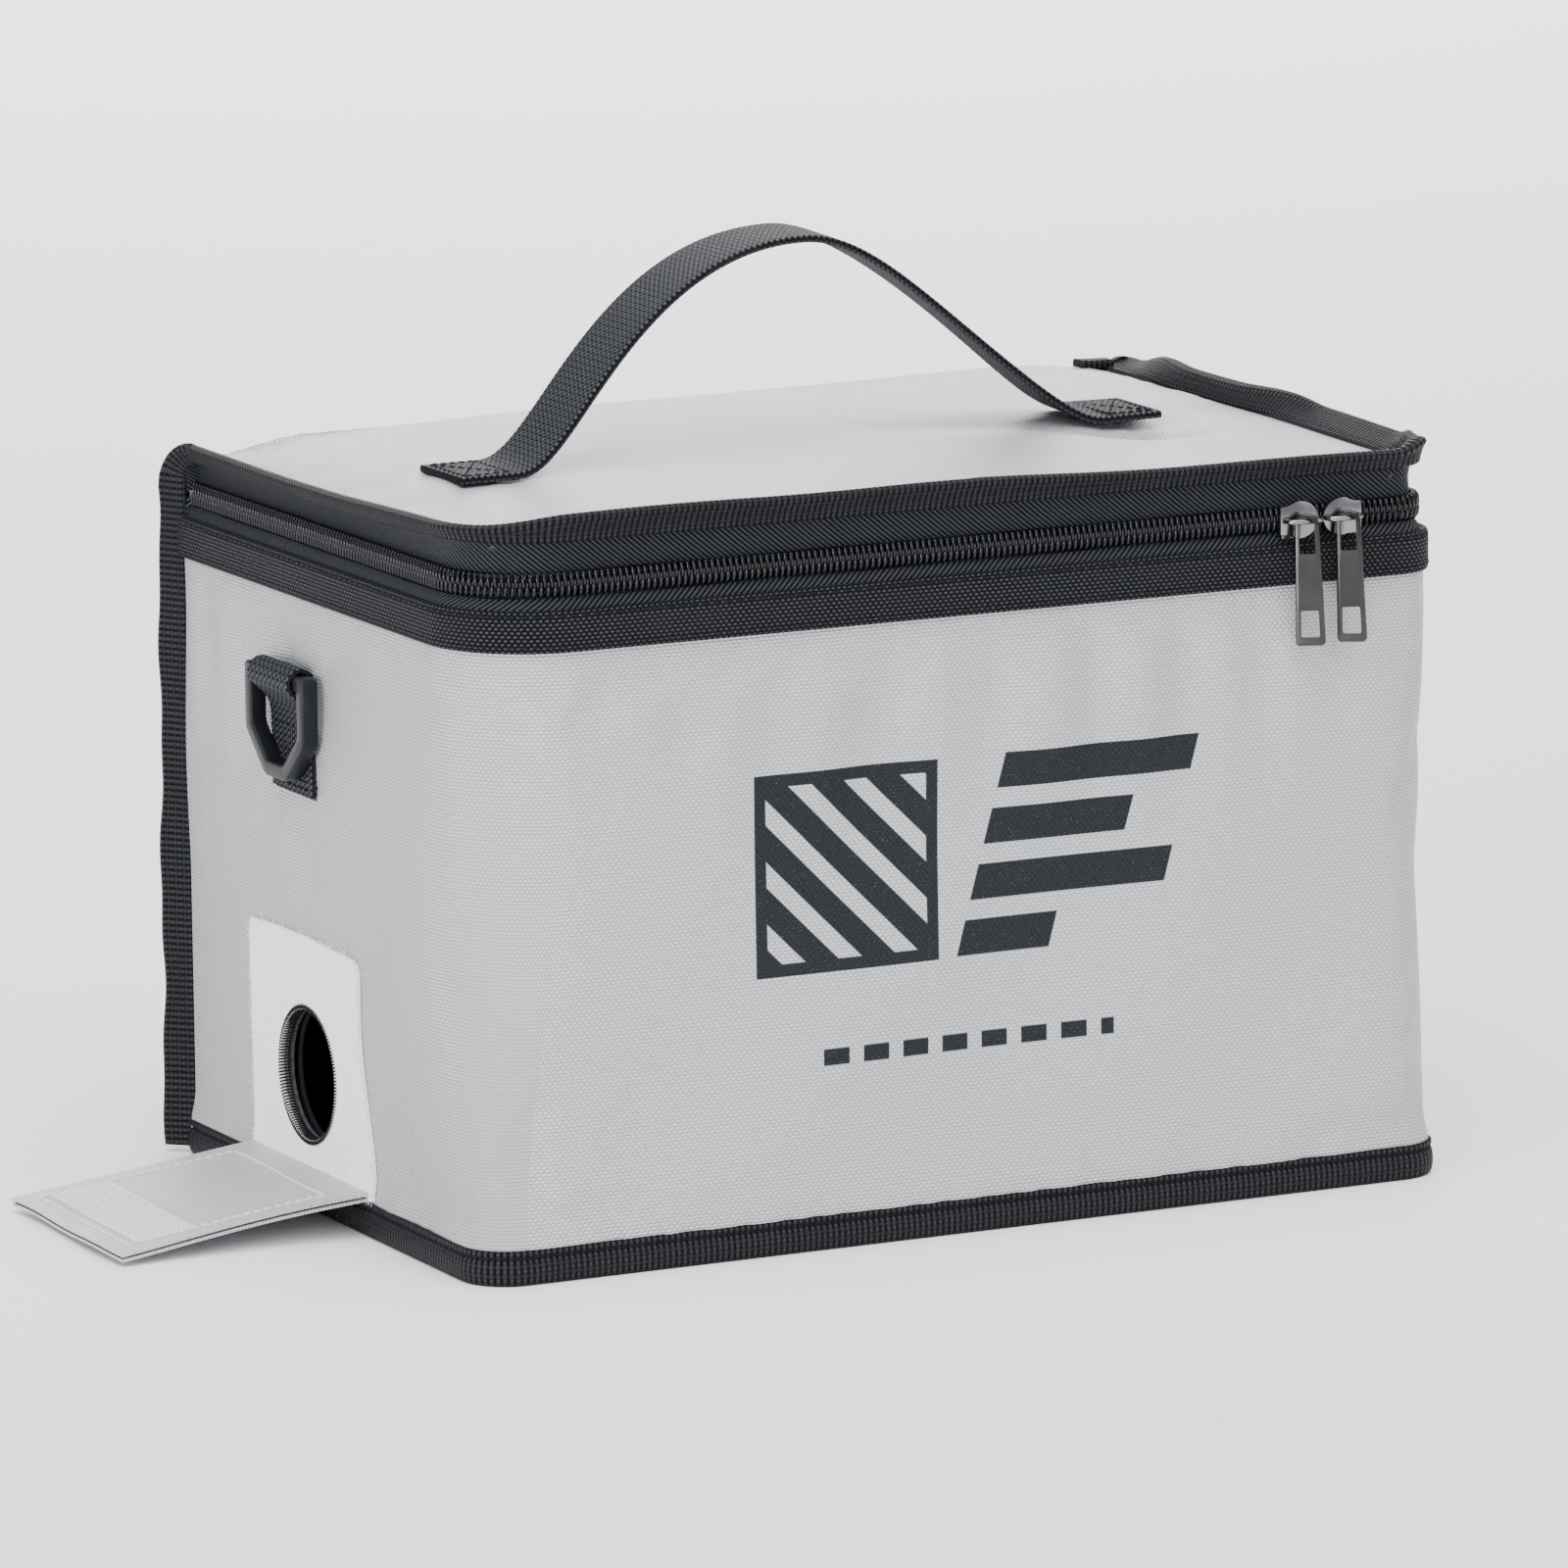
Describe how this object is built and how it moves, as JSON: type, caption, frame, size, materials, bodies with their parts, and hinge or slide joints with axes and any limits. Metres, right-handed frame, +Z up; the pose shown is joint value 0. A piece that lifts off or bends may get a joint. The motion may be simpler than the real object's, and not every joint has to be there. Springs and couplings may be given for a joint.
{
  "type": "lipo safe bag",
  "caption": "Padded, zipped box bag of silver woven glass cloth with black edging, a top handle, side D-rings and a flapped cable port.",
  "frame": {"origin": "centre of the base, on the surface that the bag stands on", "axes": "+Z up, +X to the right along the front, +Y to the back; the zip and lid open at the front (-Y) and the cable port is on the left (-X)"},
  "size_m": [0.2801, 0.1577, 0.1959],
  "materials": {
    "silver_cloth": "silver-coated woven glass cloth, soft sheen",
    "padding": "needled fibre padding, hidden",
    "lining": "plain woven black lining",
    "webbing": "ribbed black polypropylene webbing",
    "zip_tape": "black herringbone zip tape",
    "zip_teeth": "black nylon coil",
    "slider_metal": "dull nickel-plated zinc",
    "ring_plastic": "moulded black plastic, satin",
    "loop_patch": "white loop side of a touch fastener",
    "hook_patch": "white hook side of a touch fastener",
    "rim_thread": "black overlock stitching"
  },
  "bodies": {
    "bag": {"bottom_cloth": "silver_cloth", "bottom_padding": "padding", "bottom_binding": "webbing", "outer_wrap": "silver_cloth", "back_cloth": "silver_cloth", "front_padding": "padding", "left_padding": "padding", "right_padding": "padding", "back_padding": "padding", "body_lining": "lining", "rim_webbing": "webbing", "back_binding_left": "webbing", "back_binding_right": "webbing", "zip_tape_lower": "zip_tape", "zip_coil_lower": "zip_teeth", "d_loop_left": "webbing", "d_loop_right": "webbing", "port_patch": "loop_patch", "port_rim": "rim_thread"},
    "lid": {"lid_cloth": "silver_cloth", "lid_padding": "padding", "lid_lining": "lining", "hinge_fold": "silver_cloth", "fold_binding_left": "webbing", "fold_binding_right": "webbing", "lid_binding": "webbing", "zip_tape_upper": "zip_tape", "zip_coil_upper": "zip_teeth", "handle_end_left": "webbing", "handle_end_right": "webbing"},
    "handle": {"handle_arch": "webbing", "handle_tail_left": "webbing", "handle_tail_right": "webbing"},
    "slider_left": {"slider_left": "slider_metal"},
    "slider_right": {"slider_right": "slider_metal"},
    "pull_left": {"pull_left": "slider_metal"},
    "pull_right": {"pull_right": "slider_metal"},
    "ring_left": {"d_ring_left": "ring_plastic"},
    "ring_right": {"d_ring_right": "ring_plastic"},
    "flap": {"port_flap": "silver_cloth", "flap_hook": "hook_patch"}
  },
  "joints": [
    {"name": "lid_hinge", "type": "hinge", "parent": "bag", "child": "lid", "pos_m": [0, 0.0705, 0.149], "axis": [-1, 0, 0], "range_deg": [0, 180], "deforming": ["hinge_fold", "fold_binding_left", "fold_binding_right"]},
    {"name": "handle_tilt", "type": "hinge", "parent": "lid", "child": "handle", "pos_m": [0, 0, 0.1504], "axis": [1, 0, 0], "range_deg": [-60, 60], "stiffness_Nm_per_rad": 0.02, "deforming": ["handle_tail_left", "handle_tail_right"]},
    {"name": "slider_left_slide", "type": "slide", "parent": "bag", "child": "slider_left", "axis": [-1, 0, 0], "range_m": [0, 0.162]},
    {"name": "slider_right_slide", "type": "slide", "parent": "bag", "child": "slider_right", "axis": [1, 0, 0], "range_m": [0, 0.0085]},
    {"name": "pull_left_swing", "type": "hinge", "parent": "slider_left", "child": "pull_left", "pos_m": [0.0754, -0.0758, 0.1396], "axis": [-1, 0, 0], "range_deg": [0, 150]},
    {"name": "pull_right_swing", "type": "hinge", "parent": "slider_right", "child": "pull_right", "pos_m": [0.085, -0.0758, 0.1396], "axis": [-1, 0, 0], "range_deg": [0, 150]},
    {"name": "ring_left_swing", "type": "hinge", "parent": "bag", "child": "ring_left", "pos_m": [-0.11245, 0.014, 0.1102], "axis": [0, 1, 0], "range_deg": [0, 170]},
    {"name": "ring_right_swing", "type": "hinge", "parent": "bag", "child": "ring_right", "pos_m": [0.11245, 0.014, 0.1102], "axis": [0, -1, 0], "range_deg": [0, 170]},
    {"name": "flap_swing", "type": "hinge", "parent": "bag", "child": "flap", "pos_m": [-0.11085, 0.009, 0.0083], "axis": [0, 1, 0], "range_deg": [0, 97]}
  ]
}
